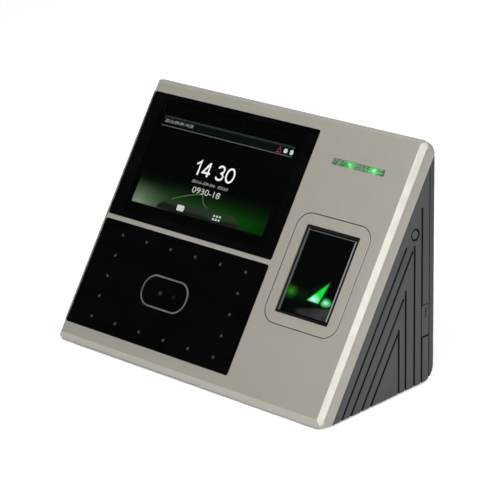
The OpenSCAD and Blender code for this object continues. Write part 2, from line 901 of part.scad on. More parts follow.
module ethernet_jack() {
    x0 = jack_x - 5.9;
    z0 = socket_z - 4;
    color("#b4b8ba") difference() {
        block(
            [jack_x - jack_w / 2, socket_y0, socket_z - jack_h / 2],
            [jack_x + jack_w / 2, bay_floor_y - 0.1, socket_z + jack_h / 2]
        );
        block([x0, bay_floor_y - 11.6, z0], [x0 + 11.8, bay_floor_y + 1, z0 + 8]);
        block([jack_x - 3, bay_floor_y - 11.6, z0 - 1.4], [jack_x + 3, bay_floor_y + 1, z0 + 1]);
    }
    color("#c9a24a") for (i = [0 : 7])
        block(
            [jack_x - 3.8 + 1.02 * i, bay_floor_y - 11.7, z0 + 7.4],
            [jack_x - 3.4 + 1.02 * i, bay_floor_y - 5, z0 + 8.1]
        );
}

module power_inlet() {
    color("#1a1b1d") difference() {
        block(
            [inlet_x - inlet_w / 2, socket_y0, socket_z - inlet_h / 2],
            [inlet_x + inlet_w / 2, bay_floor_y - 0.1, socket_z + inlet_h / 2]
        );
        y_rod(inlet_x, socket_z, inlet_bore_r, bay_floor_y - inlet_bore_t, bay_floor_y + 1);
    }
    color("#c3c6c8") y_rod(inlet_x, socket_z, inlet_pin_r, bay_floor_y - inlet_bore_t - 0.5,
        bay_floor_y - 0.6);
}

module terminal_header() {
    w = header_w / 2;
    color("#2f7a4b") difference() {
        block(
            [header_x - w, socket_y0, socket_z - header_h / 2],
            [header_x + w, bay_floor_y - 0.1, socket_z + header_h / 2]
        );
        block(
            [header_x - w + 1, bay_floor_y - 10, socket_z - header_h / 2 + 1.2],
            [header_x + w - 1, bay_floor_y + 1, socket_z + header_h / 2 - 1.2]
        );
    }
    color("#c3c6c8") for (i = [0 : header_ways - 1]) {
        x = header_x + (i - (header_ways - 1) / 2) * header_pitch;
        block([x - 0.5, bay_floor_y - 10.5, socket_z - 0.5], [x + 0.5, bay_floor_y - 4.8, socket_z + 0.5]);
    }
}

module usb_socket() {
    x0 = usb_mouth_x - usb_deep;
    color("#c3c6c8") difference() {
        block(
            [x0, usb_y - usb_w / 2, usb_z - usb_h / 2],
            [usb_mouth_x, usb_y + usb_w / 2, usb_z + usb_h / 2]
        );
        block(
            [usb_mouth_x - 9, usb_y - usb_w / 2 + 0.3, usb_z - usb_h / 2 + 0.3],
            [usb_mouth_x + 1, usb_y + usb_w / 2 - 0.3, usb_z + usb_h / 2 - 0.3]
        );
    }
    color("#e8e8e4") block(
        [usb_mouth_x - 9.1, usb_y - usb_w / 2 + 0.7, usb_z - 5.6],
        [usb_mouth_x - usb_tongue_in, usb_y - usb_w / 2 + 2.5, usb_z + 5.6]
    );
}

module usb_board() {
    x1 = usb_mouth_x - usb_deep;
    color("#1f4a33") difference() {
        block([x1 - board_t, 29.8, 23.4], [x1, 40.6, 46.6]);
        for (p = usb_posts) x_rod(p[0], p[1], small_r + 0.15, x1 - 3, x1 + 1);
    }
}

module usb_cover() {
    y0 = usb_y - flap_w / 2;
    y1 = usb_y + flap_w / 2;
    color("#4c4d4f") difference() {
        union() {
            block([side_x - flap_t, y0, hinge_z], [side_x, y1, flap_top_z]);
            y_rod(hinge_x, hinge_z, side_x - hinge_x, y0, y1);
        }
        y_rod(hinge_x, hinge_z, hinge_r + hinge_gap, y0 - 1, y1 + 1);
        // Finger groove near the cover's free end
        block([side_x - 0.7, 38, 36.8], [side_x + 1, 38.8, 42.4]);
    }
}

module usb_hinge_pin() {
    color("#8d9194") y_rod(hinge_x, hinge_z, hinge_r, 33.6, cover_y + 1);
}

module power_button() {
    color("#3d3e40") union() {
        x_rod(button_y, button_z, button_r, side_x - 3.8, side_x - 0.25);
        x_rod(button_y, button_z, 4.2, side_x - 4, side_x - wall - 0.25);
        x_rod(button_y, button_z, 1.6, button_post_x, side_x - 3.9);
    }
}

module button_spring() {
    h = side_x - 4 - button_foot_x - 0.04;
    color("#aeb2b5") translate([button_foot_x + 0.02, button_y, button_z]) rotate([0, 90, 0])
        coil_spring(2.3, 0.25, h, 6);
}

module power_switch() {
    color("#26282a") union() {
        block(
            [button_board_x + board_t, button_y - 3.5, button_z - 3.5],
            [button_foot_x, button_y + 3.5, button_z + 3.5]
        );
        x_rod(button_y, button_z, 1.5, button_foot_x - 1, button_foot_x + 1.1);
    }
}

module button_board() {
    color("#1f4a33") difference() {
        block([button_board_x, 24, 77], [button_board_x + board_t, 36.5, 92.5]);
        for (p = button_posts)
            x_rod(p[0], p[1], small_r + 0.15, button_board_x - 1, button_board_x + 3);
    }
}

module tamper_plunger() {
    y = way_y - way_floor;
    color("#e3e1d8") union() {
        y_rod(tamper_x, tamper_z, tamper_r, y - 1, flange_y + sheet_t + 0.2 - slide_gap);
        y_rod(tamper_x, tamper_z, 3, y - 1.6, y - 0.3);
        y_rod(tamper_x, tamper_z, 1.2, y - 5.4, y - 1.5);
    }
}

module tamper_spring() {
    h = way_y - way_floor - 1.6 - tamper_foot_y - 0.04;
    color("#aeb2b5") translate([tamper_x, tamper_foot_y + 0.02, tamper_z]) rotate([-90, 0, 0])
        coil_spring(1.9, 0.2, h, 6);
}

module tamper_switch() {
    color("#26282a") union() {
        block(
            [tamper_x - 3, tamper_board_y + board_t, tamper_z - 3],
            [tamper_x + 3, tamper_foot_y, tamper_z + 3]
        );
        y_rod(tamper_x, tamper_z, 1, tamper_foot_y - 1, tamper_foot_y + 0.9);
    }
}

module tamper_board() {
    color("#1f4a33") difference() {
        block(
            [tamper_x - 10.5, tamper_board_y, tamper_z - 8.5],
            [tamper_x + 10.5, tamper_board_y + board_t, tamper_z + 8.5]
        );
        for (p = tamper_screws)
            y_rod(p[0], p[1], small_r + 0.15, tamper_board_y - 1, tamper_board_y + 3);
    }
}

module speaker() {
    x0 = -side_x + wall + 0.2;
    color("#2a2b2d") union() {
        x_rod(9.8, 14.2, 9.8, x0, x0 + 2.4);
        x_rod(9.8, 14.2, 7, x0 + 2.3, x0 + 5);
    }
}

module wall_bracket() {
    x1 = 56;
    x2 = way_x - 0.4;
    z1 = way_z1 - slide_gap;
    color("#8f9497") difference() {
        union() {
            block([-x1, back_y - sheet_t, way_z0], [x1, back_y, z1]);
            for (i = [-1, 1]) mirrored(i) {
                block([x1 - sheet_t, flange_y, way_z0], [x1, back_y - 0.5, z1]);
                block([x1 - 0.5, flange_y, way_z0], [x2, flange_y + sheet_t, z1]);
            }
        }
        for (i = [-1, 1], j = [-1, 1])
            y_rod(i * bracket_hole_dx / 2, bracket_z + j * bracket_hole_dz / 2,
                bracket_hole_d / 2, flange_y - 1, back_y + 1);
    }
}

module rubber_feet() {
    color("#1b1c1d") for (i = [-1, 1], y = foot_ys)
        translate([i * foot_x, y, 0]) cylinder(h = shell_z + foot_sink - 0.02, r = foot_r);
}

module cover_screws() {
    y = back_y - head_t - 0.2;
    color("#3a3b3d") for (x = [-screw_x, screw_x], z = [screw_low_z, screw_top_z])
        y_screw(x, z, y, 8.5, true, screw_r, head_r, head_t);
}

module bezel_screws() {
    color("#8d9194") for (x = [-lug_x, lug_x])
        face_screw(x, lug_s, lug_d + lug_t, 8, screw_r, head_r, head_t);
}

module board_screws() {
    color("#8d9194") {
        for (x = screen_screw_xs, s = screen_screw_ss)
            face_screw(x, s, bracket_d + bracket_t, 4);
        for (p = light_screws) face_screw(p[0], p[1], light_board_d + board_t, 5);
        for (i = [-1, 1])
            face_screw(indicator_x + i * indicator_screw_dx, indicator_s,
                indicator_board_d + board_t, 4);
        for (p = main_screws) y_screw(p[0], p[1], board_y, 8);
        for (p = tamper_screws) y_screw(p[0], p[1], tamper_board_y, 6);
    }
}

module screen_ribbon() {
    foot_s = screen_s - lcd_h / 2;
    turn_s = foot_s - 2.57;
    color("#c78a3a") flat_cable(
        [
            face_pt(foot_s, 4.4), face_pt(turn_s, 4.4), face_pt(turn_s, 9.5),
            [12.4, 60.6], [13.75, 57], [13.75, 52]
        ],
        30, screen_x
    );
}

module camera_ribbon() {
    color("#c78a3a") flat_cable(
        [face_pt(21, light_board_d + board_t + 0.2), face_pt(17, 9.5), [-12, 9], [8, 10], [13.75, 13]],
        14, -62
    );
}

module sensor_ribbon() {
    color("#c78a3a") flat_cable(
        [face_pt(66, sensor_deep + 0.2), face_pt(60, sensor_deep + 1.4), [8, 38], [13.75, 34]],
        12, sensor_x
    );
}

front_bezel();
rear_shell();
rear_cover();
screen_window();
touch_panel();
screen_module();
display_bracket();
camera_window();
camera_trim();
light_shroud();
light_board();
infrared_leds();
color_camera();
infrared_camera();
indicator_lens();
indicator_board();
indicator_leds();
sensor_surround();
sensor_housing();
sensor_prism();
sensor_lights();
sensor_camera();
main_board();
processor_shield();
lock_relay();
clock_battery();
ethernet_jack();
power_inlet();
terminal_header();
usb_socket();
usb_board();
usb_cover();
usb_hinge_pin();
power_button();
button_spring();
power_switch();
button_board();
tamper_plunger();
tamper_spring();
tamper_switch();
tamper_board();
speaker();
wall_bracket();
rubber_feet();
cover_screws();
bezel_screws();
board_screws();
screen_ribbon();
camera_ribbon();
sensor_ribbon();
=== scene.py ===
"""Looks for the fingerprint scanner terminal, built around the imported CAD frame."""

import json
import math

import bmesh
import bpy
from mathutils import Matrix, Vector


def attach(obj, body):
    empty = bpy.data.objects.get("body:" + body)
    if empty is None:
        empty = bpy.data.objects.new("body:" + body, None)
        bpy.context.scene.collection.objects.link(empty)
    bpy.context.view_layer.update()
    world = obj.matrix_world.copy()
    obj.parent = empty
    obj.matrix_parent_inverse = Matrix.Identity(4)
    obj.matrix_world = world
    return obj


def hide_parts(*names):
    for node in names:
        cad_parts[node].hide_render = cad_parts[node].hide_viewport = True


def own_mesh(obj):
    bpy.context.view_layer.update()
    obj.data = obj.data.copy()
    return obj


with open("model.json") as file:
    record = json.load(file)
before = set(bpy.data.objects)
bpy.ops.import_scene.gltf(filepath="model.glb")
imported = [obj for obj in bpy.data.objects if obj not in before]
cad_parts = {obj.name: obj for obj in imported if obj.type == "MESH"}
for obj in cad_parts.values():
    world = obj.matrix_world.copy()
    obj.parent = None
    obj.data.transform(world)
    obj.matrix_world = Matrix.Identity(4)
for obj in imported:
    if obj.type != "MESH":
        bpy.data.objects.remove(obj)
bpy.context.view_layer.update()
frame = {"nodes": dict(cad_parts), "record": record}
NODES = frame["nodes"]
MM = 0.001

# ---------------------------------------------------------------- the face's own frame
ACROSS = Vector((1, 0, 0))


def face_axes():
    """Directions up the leaning face and out of it, from the upper window's largest side."""
    mesh = NODES["screen_window"].data
    out = max(mesh.polygons, key=lambda p: p.area if p.normal.y < -0.5 else 0).normal.copy()
    out = Vector((0, out.y, out.z)).normalized()
    return Vector((0, out.z, -out.y)), out


UP, OUT = face_axes()


def spans(node, *axes):
    """Lowest and highest value of a CAD node along each axis."""
    points = [v.co for v in NODES[node].data.vertices]
    return [(min(p.dot(a) for p in points), max(p.dot(a) for p in points)) for a in axes]


((_, FACE_H),) = spans("front_bezel", OUT)


def centre_on_face(node):
    """Middle of a node, across and up the face, in metres."""
    (x0, x1), (s0, s1) = spans(node, ACROSS, UP)
    return (x0 + x1) / 2, (s0 + s1) / 2


SENSOR_X, SENSOR_S = centre_on_face("sensor_surround")


def face_matrix(x, s, depth):
    """A frame on the face: origin at (x, s) and depth below it, X across, Y up, Z out."""
    origin = ACROSS * x + UP * s + OUT * (FACE_H - depth)
    return Matrix(
        (
            (ACROSS.x, UP.x, OUT.x, origin.x),
            (ACROSS.y, UP.y, OUT.y, origin.y),
            (ACROSS.z, UP.z, OUT.z, origin.z),
            (0, 0, 0, 1),
        )
    )


# ---------------------------------------------------------------- materials
class Tree:
    """A material's node tree, with one short call for each kind of node."""

    def __init__(self, name):
        self.material = bpy.data.materials.new(name)
        self.material.use_nodes = True
        self.nt = self.material.node_tree
        self.nt.nodes.clear()
        self.out = self.nt.nodes.new("ShaderNodeOutputMaterial")

    def add(self, kind, inputs=None, **settings):
        node = self.nt.nodes.new("ShaderNode" + kind)
        for key, value in settings.items():
            setattr(node, key, value)
        for key, value in (inputs or {}).items():
            self.put(node.inputs[key], value)
        return node

    def put(self, socket, value):
        if isinstance(value, bpy.types.NodeSocket):
            self.nt.links.new(value, socket)
        elif socket.type == "RGBA":
            socket.default_value = (*value[:3], 1)
        else:
            socket.default_value = value

    def place(self):
        return self.add("TexCoord").outputs["Object"]

    def noise(self, scale, detail=2.0, rough=0.5, at=None):
        return self.add(
            "TexNoise",
            {
                "Vector": at or self.place(),
                "Scale": scale,
                "Detail": detail,
                "Roughness": rough,
            },
        ).outputs["Fac"]

    def stretched(self, sx, sy, sz):
        return self.add(
            "Mapping", {"Vector": self.place(), "Scale": (sx, sy, sz)}, vector_type="POINT"
        ).outputs["Vector"]

    def along(self, direction):
        """How far the surface lies along a direction, in metres."""
        node = self.add(
            "VectorMath", {0: self.place(), 1: tuple(direction)}, operation="DOT_PRODUCT"
        )
        return node.outputs["Value"]

    def depth(self):
        """Depth below the face, in metres."""
        return self.math("SUBTRACT", FACE_H, self.along(OUT))

    def remap(self, value, low, high, to_low, to_high):
        return self.add(
            "MapRange",
            {
                "Value": value,
                "From Min": low,
                "From Max": high,
                "To Min": to_low,
                "To Max": to_high,
            },
        ).outputs["Result"]

    def math(self, how, a, b=0.0, clamp=False):
        return self.add("Math", {0: a, 1: b}, operation=how, use_clamp=clamp).outputs["Value"]

    def mix(self, fac, a, b):
        node = self.add("Mix", data_type="RGBA")
        self.put(node.inputs[0], fac)
        self.put(node.inputs[6], a)
        self.put(node.inputs[7], b)
        return node.outputs[2]

    def bump(self, height, strength, distance):
        inputs = {"Height": height, "Strength": strength, "Distance": distance}
        return self.add("Bump", inputs).outputs["Normal"]

    def finish(self, **inputs):
        """A Principled shader with these sockets; an underscore stands for a space."""
        names = {
            "color": "Base Color",
            "rough": "Roughness",
            "metal": "Metallic",
            "normal": "Normal",
            "specular": "Specular IOR Level",
            "ior": "IOR",
            "alpha": "Alpha",
            "coat": "Coat Weight",
            "coat_rough": "Coat Roughness",
            "sheen": "Sheen Weight",
            "glow": "Emission Color",
            "glow_strength": "Emission Strength",
            "aniso": "Anisotropic",
            "subsurface": "Subsurface Weight",
        }
        shader = self.add("BsdfPrincipled", {names[k]: v for k, v in inputs.items()})
        self.nt.links.new(shader.outputs[0], self.out.inputs["Surface"])
        return self.material


PAINT_WEAR = 0.5


def painted(name, color, metal, rough, grain=0.06, grain_scale=2600):
    """Satin paint with a fine metallic grain, slow colour drift and lighter worn edges."""
    t = Tree(name)
    fine = t.noise(grain_scale, 2.0, 0.6)
    coarse = t.noise(grain_scale / 9, 3.0, 0.6)
    drift = t.noise(9, 2.0)
    dark = [c * (1 - grain) for c in color]
    light = [min(1, c * (1 + grain)) for c in color]
    tone = t.mix(t.remap(fine, 0.3, 0.7, 0, 1), dark, light)
    tone = t.mix(t.remap(coarse, 0.35, 0.65, 0, 0.35), tone, light)
    tone = t.mix(t.remap(drift, 0.3, 0.7, 0, 0.12), tone, [c * 0.86 for c in color])
    edge = t.add("Attribute", attribute_name="edge").outputs["Fac"]
    rubbed = t.remap(coarse, 0.4, 0.7, PAINT_WEAR * 0.2, PAINT_WEAR)
    worn = t.math("MULTIPLY", edge, rubbed, clamp=True)
    tone = t.mix(worn, tone, [min(1, c * 1.35 + 0.02) for c in color])
    height = t.math("ADD", fine, t.math("MULTIPLY", coarse, 0.5))
    return t.finish(
        color=tone,
        metal=metal,
        rough=t.remap(coarse, 0.3, 0.7, rough * 0.9, rough * 1.12),
        specular=0.5,
        normal=t.bump(height, 0.25, 0.00003),
    )


def moulded(name, color, rough=0.5, texture=0.35, scale=1500, wear=0.4, specular=0.5):
    """Textured moulded plastic: pebbled bump, faint mottle, rubbed edges."""
    t = Tree(name)
    pebble = t.add(
        "TexVoronoi", {"Vector": t.place(), "Scale": scale, "Randomness": 1.0}
    ).outputs["Distance"]
    cloud = t.noise(60, 3.0, 0.6)
    fine = t.noise(scale * 1.7, 2.0)
    dull, fair = [c * 0.88 for c in color], [c * 1.1 for c in color]
    tone = t.mix(t.remap(cloud, 0.3, 0.7, 0, 1), dull, fair)
    tone = t.mix(t.remap(fine, 0.35, 0.7, 0, 0.5), tone, [c * 1.35 + 0.004 for c in color])
    edge = t.add("Attribute", attribute_name="edge").outputs["Fac"]
    worn = t.math("MULTIPLY", edge, t.remap(cloud, 0.4, 0.65, wear * 0.3, wear), clamp=True)
    tone = t.mix(worn, tone, [c * 1.8 + 0.02 for c in color])
    height = t.math("ADD", pebble, t.math("MULTIPLY", fine, 0.4))
    return t.finish(
        color=tone,
        rough=t.remap(cloud, 0.3, 0.7, rough * 0.9, rough * 1.1),
        specular=specular,
        normal=t.bump(height, texture, 0.00006),
    )


def metal_sheet(name, color, rough=0.32, along=(1, 1, 1), streak=0.3):
    """Rolled or drawn metal: streaks along one direction, small scratches and dulling."""
    t = Tree(name)
    streaks = t.noise(900, 3.0, 0.6, at=t.stretched(*along))
    cloud = t.noise(45, 3.0)
    scratches = t.noise(300, 1.0, 0.5, at=t.stretched(1, 0.06, 1))
    tone = t.mix(t.remap(streaks, 0.3, 0.7, 0, streak), color, [c * 0.72 for c in color])
    tone = t.mix(t.remap(cloud, 0.45, 0.7, 0, 0.3), tone, [c * 0.8 for c in color])
    tone = t.mix(t.remap(scratches, 0.66, 0.72, 0, 0.2), tone, [min(1, c * 1.3) for c in color])
    return t.finish(
        color=tone,
        metal=1.0,
        rough=t.remap(cloud, 0.3, 0.7, rough * 0.85, rough * 1.25),
        normal=t.bump(streaks, 0.15, 0.00002),
    )


def circuit_board(name, color):
    """Solder mask with copper runs just under it, pads and a faint weave."""
    t = Tree(name)
    runs = t.add(
        "TexBrick",
        {
            "Vector": t.place(),
            "Scale": 420.0,
            "Mortar Size": 0.03,
            "Color1": (0, 0, 0),
            "Color2": (0.1, 0.1, 0.1),
            "Mortar": (1, 1, 1),
        },
    ).outputs["Fac"]
    weave = t.noise(2200, 2.0)
    pads = t.add("TexVoronoi", {"Vector": t.place(), "Scale": 330.0}).outputs["Distance"]
    dull, fair = [c * 0.85 for c in color], [c * 1.15 for c in color]
    tone = t.mix(t.remap(weave, 0.3, 0.7, 0, 1), dull, fair)
    tone = t.mix(t.math("MULTIPLY", runs, 0.5), tone, [c * 1.8 + 0.01 for c in color])
    tin = t.remap(pads, 0.1, 0.13, 1, 0)
    tone = t.mix(tin, tone, (0.6, 0.6, 0.57))
    return t.finish(
        color=tone,
        metal=t.math("MULTIPLY", tin, 0.9),
        rough=t.remap(weave, 0.3, 0.7, 0.32, 0.42),
        normal=t.bump(t.math("ADD", runs, weave), 0.2, 0.00003),
    )


def smoked(name, alpha, clear=None):
    """Polished black sheet that lets a little light through, with faint wipe marks.

    If clear is given, as a box in metres across and up the face, the rest is opaque.
    """
    t = Tree(name)
    if clear:
        soft = 0.0003
        seen = 1.0
        for axis, (low, high) in zip((ACROSS, UP), clear):
            at = t.along(axis)
            seen = t.math("MULTIPLY", seen, t.remap(at, low, low + soft, 0, 1))
            seen = t.math("MULTIPLY", seen, t.remap(at, high - soft, high, 1, 0))
        alpha = t.remap(seen, 0, 1, 1, alpha)
    wipes = t.noise(30, 4.0, 0.6, at=t.stretched(1, 3, 3))
    tone = t.mix(t.remap(wipes, 0.35, 0.7, 0, 1), (0.0008, 0.0008, 0.001), (0.0018, 0.0018, 0.002))
    return t.finish(
        color=tone,
        rough=t.remap(wipes, 0.3, 0.7, 0.05, 0.11),
        specular=0.16,
        alpha=alpha,
        normal=t.bump(wipes, 0.02, 0.0001),
    )


def lit(name, color, strength, base=(0.02, 0.02, 0.02), rough=0.3):
    """A surface that glows, with a slight unevenness."""
    t = Tree(name)
    cloud = t.noise(700, 2.0)
    glow = t.mix(t.remap(cloud, 0.3, 0.7, 0, 0.25), color, [c * 0.7 for c in color])
    power = t.remap(cloud, 0.3, 0.7, strength * 0.9, strength * 1.05)
    return t.finish(
        color=t.mix(cloud, base, [min(1, c * 1.3 + 0.01) for c in base]),
        rough=t.remap(cloud, 0.3, 0.7, rough * 0.9, rough * 1.1),
        glow=glow,
        glow_strength=power,
    )


SILVER = painted("silver_paint", (0.285, 0.268, 0.227), 0.35, 0.42)
DARK = moulded("dark_plastic", (0.026, 0.027, 0.028), 0.5, 0.3, specular=0.38)
# Painted shade: near black for the floors and walls of grooves and of the socket cover's edge
GROOVE_SHADOW = moulded("groove_shadow", (0.007, 0.007, 0.0075), 0.7, 0.2, wear=0.0, specular=0.1)
SEAM = painted("seam_shadow", (0.07, 0.066, 0.056), 0.2, 0.6)
COVER = moulded("cover_plastic", (0.02, 0.021, 0.022), 0.52, 0.4, specular=0.38)
SMOKE_ALPHA = 0.7
SCREEN_ALPHA = 0.35
SMOKED_SCREEN = smoked(
    "smoked_screen_window", SCREEN_ALPHA, clear=spans("screen_module", ACROSS, UP)
)
SMOKED_CAMERA = smoked("smoked_camera_window", SMOKE_ALPHA)
SATIN_STEEL = metal_sheet("zinc_sheet", (0.52, 0.53, 0.54), 0.36, (1, 1, 0.05))
BRIGHT_STEEL = metal_sheet("bright_steel", (0.62, 0.62, 0.62), 0.25)
TIN = metal_sheet("tin_plate", (0.66, 0.67, 0.66), 0.22, (0.1, 1, 1), 0.2)
TRIM = metal_sheet("trim_line", (0.74, 0.75, 0.76), 0.3, (1, 1, 1), 0.15)
BLACK_OXIDE = metal_sheet("black_oxide", (0.06, 0.06, 0.065), 0.38)
BATTERY = metal_sheet("nickel_can", (0.6, 0.6, 0.58), 0.24, (1, 1, 1), 0.15)
BOARD = circuit_board("solder_mask", (0.012, 0.075, 0.035))
BLACK_INNER = moulded("black_inner", (0.012, 0.012, 0.013), 0.55, 0.2)
# Painted shade: near black for the faces round and under the windows, in their pockets
WINDOW_POCKET_SHADE = moulded("window_pocket_shade", (0.0012, 0.0012, 0.0013), 0.6, 0.1, wear=0.0, specular=0.1)
SENSOR_FRAME = moulded(
    "sensor_frame", (0.0025, 0.0025, 0.0027), 0.35, 0.08, wear=0.1, specular=0.25
)
# Painted highlight: a lighter copy of the sensor frame's black, for its inner wall that faces right
SENSOR_LIP_HIGHLIGHT = moulded("sensor_lip_highlight", (0.12, 0.12, 0.12), 0.4, 0.3, wear=0.3)
RUBBER = moulded("silicone", (0.014, 0.014, 0.015), 0.75, 0.5, 900, 0.1)
SWITCH = moulded("switch_plastic", (0.02, 0.02, 0.022), 0.42, 0.15)
NYLON = moulded("natural_nylon", (0.6, 0.57, 0.5), 0.5, 0.2, wear=0.1)
RELAY = moulded("relay_case", (0.02, 0.075, 0.26), 0.34, 0.1)
HEADER = moulded("header_plastic", (0.02, 0.14, 0.055), 0.4, 0.15)
CONE = moulded("speaker_cone", (0.02, 0.02, 0.021), 0.7, 0.5, 700)
FILM = painted("polyimide_film", (0.42, 0.2, 0.045), 0.15, 0.3, 0.08, 1500)

# ---------------------------------------------------------------- mesh helpers


FLAT_DEG = 0.5


def welded(node):
    """A bmesh copy of a CAD node, with its triangles joined into whole flat sides."""
    bm = bmesh.new()
    bm.from_mesh(NODES[node].data)
    bmesh.ops.remove_doubles(bm, verts=bm.verts, dist=1e-6)
    bmesh.ops.dissolve_limit(
        bm,
        angle_limit=math.radians(FLAT_DEG),
        verts=bm.verts,
        edges=bm.edges,
        use_dissolve_boundaries=False,
    )
    return bm


def as_object(name, bm, material, sharp_deg=30):
    mesh = bpy.data.meshes.new(name)
    bmesh.ops.recalc_face_normals(bm, faces=bm.faces)
    bm.to_mesh(mesh)
    bm.free()
    for poly in mesh.polygons:
        poly.use_smooth = True
    mesh.set_sharp_from_angle(angle=math.radians(sharp_deg))
    mesh.materials.append(material)
    obj = bpy.data.objects.new(name, mesh)
    bpy.context.scene.collection.objects.link(obj)
    return obj


def is_sharp(edge, degrees=28):
    return edge.is_manifold and math.degrees(edge.calc_face_angle(0)) > degrees


def roomy(vert, least):
    """True if every sharp edge at a corner is long enough to be rounded."""
    return all(e.calc_length() > least for e in vert.link_edges if is_sharp(e, 12))


def softened(node, material, width, others=(), choose=None, crisp=False, fillet=None):
    """Replaces a crisp CAD node with a copy whose outer edges are rounded.

    A face takes the material that choose(centre, normal) counts to: 0 is the main one,
    and the others follow. If asked, faces in the others stay crisp. Edges for which
    fillet(edge) is true are rounded wider first.
    """
    bm = welded(node)

    def chosen(face):
        return int(choose(face.calc_center_median(), face.normal)) if choose else 0

    if fillet:
        bmesh.ops.bevel(
            bm,
            geom=[e for e in bm.edges if fillet(e)],
            offset=FILLET * MM,
            offset_type="OFFSET",
            segments=3,
            profile=0.5,
            affect="EDGES",
            clamp_overlap=False,
        )
    least = width * 2.6 * MM
    edges = [e for e in bm.edges if is_sharp(e) and all(roomy(v, least) for v in e.verts)]
    if crisp:
        edges = [e for e in edges if not any(chosen(f) for f in e.link_faces)]
    mark = bm.faces.layers.float.new("edge")
    made = bmesh.ops.bevel(
        bm,
        geom=edges,
        offset=width * MM,
        offset_type="OFFSET",
        segments=2,
        profile=0.5,
        affect="EDGES",
        clamp_overlap=False,
    )
    for f in made["faces"]:
        f[mark] = 1.0
    for f in bm.faces:
        f.material_index = chosen(f)
    box = spans(node, *Matrix.Identity(3))
    for v in bm.verts:
        v.co = [min(max(c, low), high) for c, (low, high) in zip(v.co, box)]
    obj = as_object(node + "_shell", bm, material, 40)
    for other in others:
        obj.data.materials.append(other)
    weighted = obj.modifiers.new("even_normals", "WEIGHTED_NORMAL")
    weighted.keep_sharp = True
    return in_place_of(node, obj)


def in_place_of(node, obj):
    """Gives a piece the CAD node's body, and hides the node."""
    bodies = frame["record"]["behaviour"]["bodies"]
    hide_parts(node)
    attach(obj, next(body for body, members in bodies.items() if node in members))
    return obj


def dress(node, material):
    """Gives a CAD node its material."""
    slots = NODES[node].data.materials
    slots.clear()
    slots.append(material)


def new_piece(obj, body):
    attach(obj, body)
    return obj


def plate(bm, outline, z, thick=0.02):
    """Adds a flat plate with this outline, in mm, its front at z."""
    front = [bm.verts.new((x * MM, y * MM, z * MM)) for x, y in outline]
    back = [bm.verts.new((x * MM, y * MM, (z - thick) * MM)) for x, y in outline]
    bm.faces.new(front)
    bm.faces.new(back[::-1])
    n = len(outline)
    for i in range(n):
        j = (i + 1) % n
        bm.faces.new((front[j], front[i], back[i], back[j]))


def rounded(cx, cy, w, h, r):
    """Outline of a round-cornered rectangle."""
    steps = 5
    points = []
    for qx, qy, start in ((1, 1, 0), (-1, 1, 90), (-1, -1, 180), (1, -1, 270)):
        for k in range(steps + 1):
            a = math.radians(start + 90 * k / steps)
            points.append(
                (cx + qx * (w / 2 - r) + r * math.cos(a), cy + qy * (h / 2 - r) + r * math.sin(a))
            )
    return points


def arc(cx, cy, rx, ry, start, end, steps):
    """Points round an ellipse, from one angle to another."""
    points = []
    for k in range(steps + 1):
        a = math.radians(start + (end - start) * k / steps)
        points.append((cx + rx * math.cos(a), cy + ry * math.sin(a)))
    return points


def ribbon(bm, route, width, z, closed=False):
    """Adds a drawn line of this width along a route, as a thin solid strip."""
    thick = 0.01
    n = len(route)
    rows = []
    for i, p in enumerate(route):
        before = route[(i - 1) % n] if closed or i else p
        after = route[(i + 1) % n] if closed or i < n - 1 else p
        a = Vector((p[0] - before[0], p[1] - before[1]))
        b = Vector((after[0] - p[0], after[1] - p[1]))
        a = a.normalized() if a.length else b.normalized()
        b = b.normalized() if b.length else a
        mean = (a + b).normalized()
        reach = width / 2 / max(0.45, mean.dot(b))
        off = Vector((-mean.y, mean.x)) * reach
        corners = ((off, 0), (-off, 0), (-off, thick), (off, thick))
        places = [(p[0] + o.x, p[1] + o.y, z - dz) for o, dz in corners]
        rows.append([bm.verts.new(Vector(place) * MM) for place in places])
    for i in range(n if closed else n - 1):
        a, b = rows[i], rows[(i + 1) % n]
        for k in range(4):
            m = (k + 1) % 4
            bm.faces.new((a[k], a[m], b[m], b[k]))
    if not closed:
        bm.faces.new(rows[0][::-1])
        bm.faces.new(rows[-1])


def bend(a, b, c):
    """Points on a quadratic curve."""
    steps = 14
    out = []
    for k in range(steps + 1):
        u = k / steps
        out.append(
            tuple((1 - u) ** 2 * a[i] + 2 * u * (1 - u) * b[i] + u * u * c[i] for i in (0, 1))
        )
    return out


def plates(name, outlines, z, matrix, material, thick=0.02):
    """One piece of several flat plates on the screen, in the frame of matrix."""
    bm = bmesh.new()
    for outline in outlines:
        plate(bm, outline, z, thick)
    obj = as_object(name, bm, material)
    obj.matrix_world = matrix
    return new_piece(obj, "case")


# ---------------------------------------------------------------- case and trim
def within(centre, box, grow):
    """True if a point lies over a node's box on the face, grown by so many mm."""
    (x0, x1), (s0, s1) = box
    grow *= MM
    return x0 - grow < centre.x < x1 + grow and s0 - grow < centre.dot(UP) < s1 + grow


POCKETS = [spans(node, ACROSS, UP) for node in ("screen_window", "camera_window")]
SEAT = spans("sensor_prism", ACROSS, UP)


def shell_paint(centre, normal):
    """Painted shade, near black, round and under the two windows; shadow in the seam round the
    sensor's panel.
    """
    depth = FACE_H - centre.dot(OUT)
    if 0.0003 < depth < 0.0036 and any(within(centre, box, 0.3) for box in POCKETS):
        return 1
    beside = within(centre, SEAT, 9.5) and centre.x > POCKETS[0][0][1] + 0.001
    if beside and depth < 0.002 and normal.dot(OUT) < 0.95:
        return 2
    return 0


FILLET = 0.7


def round_an_opening(*nodes):
    """A test for edges of the face's openings round these nodes."""
    boxes = [spans(node, ACROSS, UP) for node in nodes]
    near = 0.0006

    def on_opening(edge):
        if not is_sharp(edge) or any(FACE_H - v.co.dot(OUT) > 0.00002 for v in edge.verts):
            return False
        for (x0, x1), (s0, s1) in boxes:
            if all(
                x0 - near < v.co.x < x1 + near and s0 - near < v.co.dot(UP) < s1 + near
                for v in edge.verts
            ):
                return True
        return False

    return on_opening


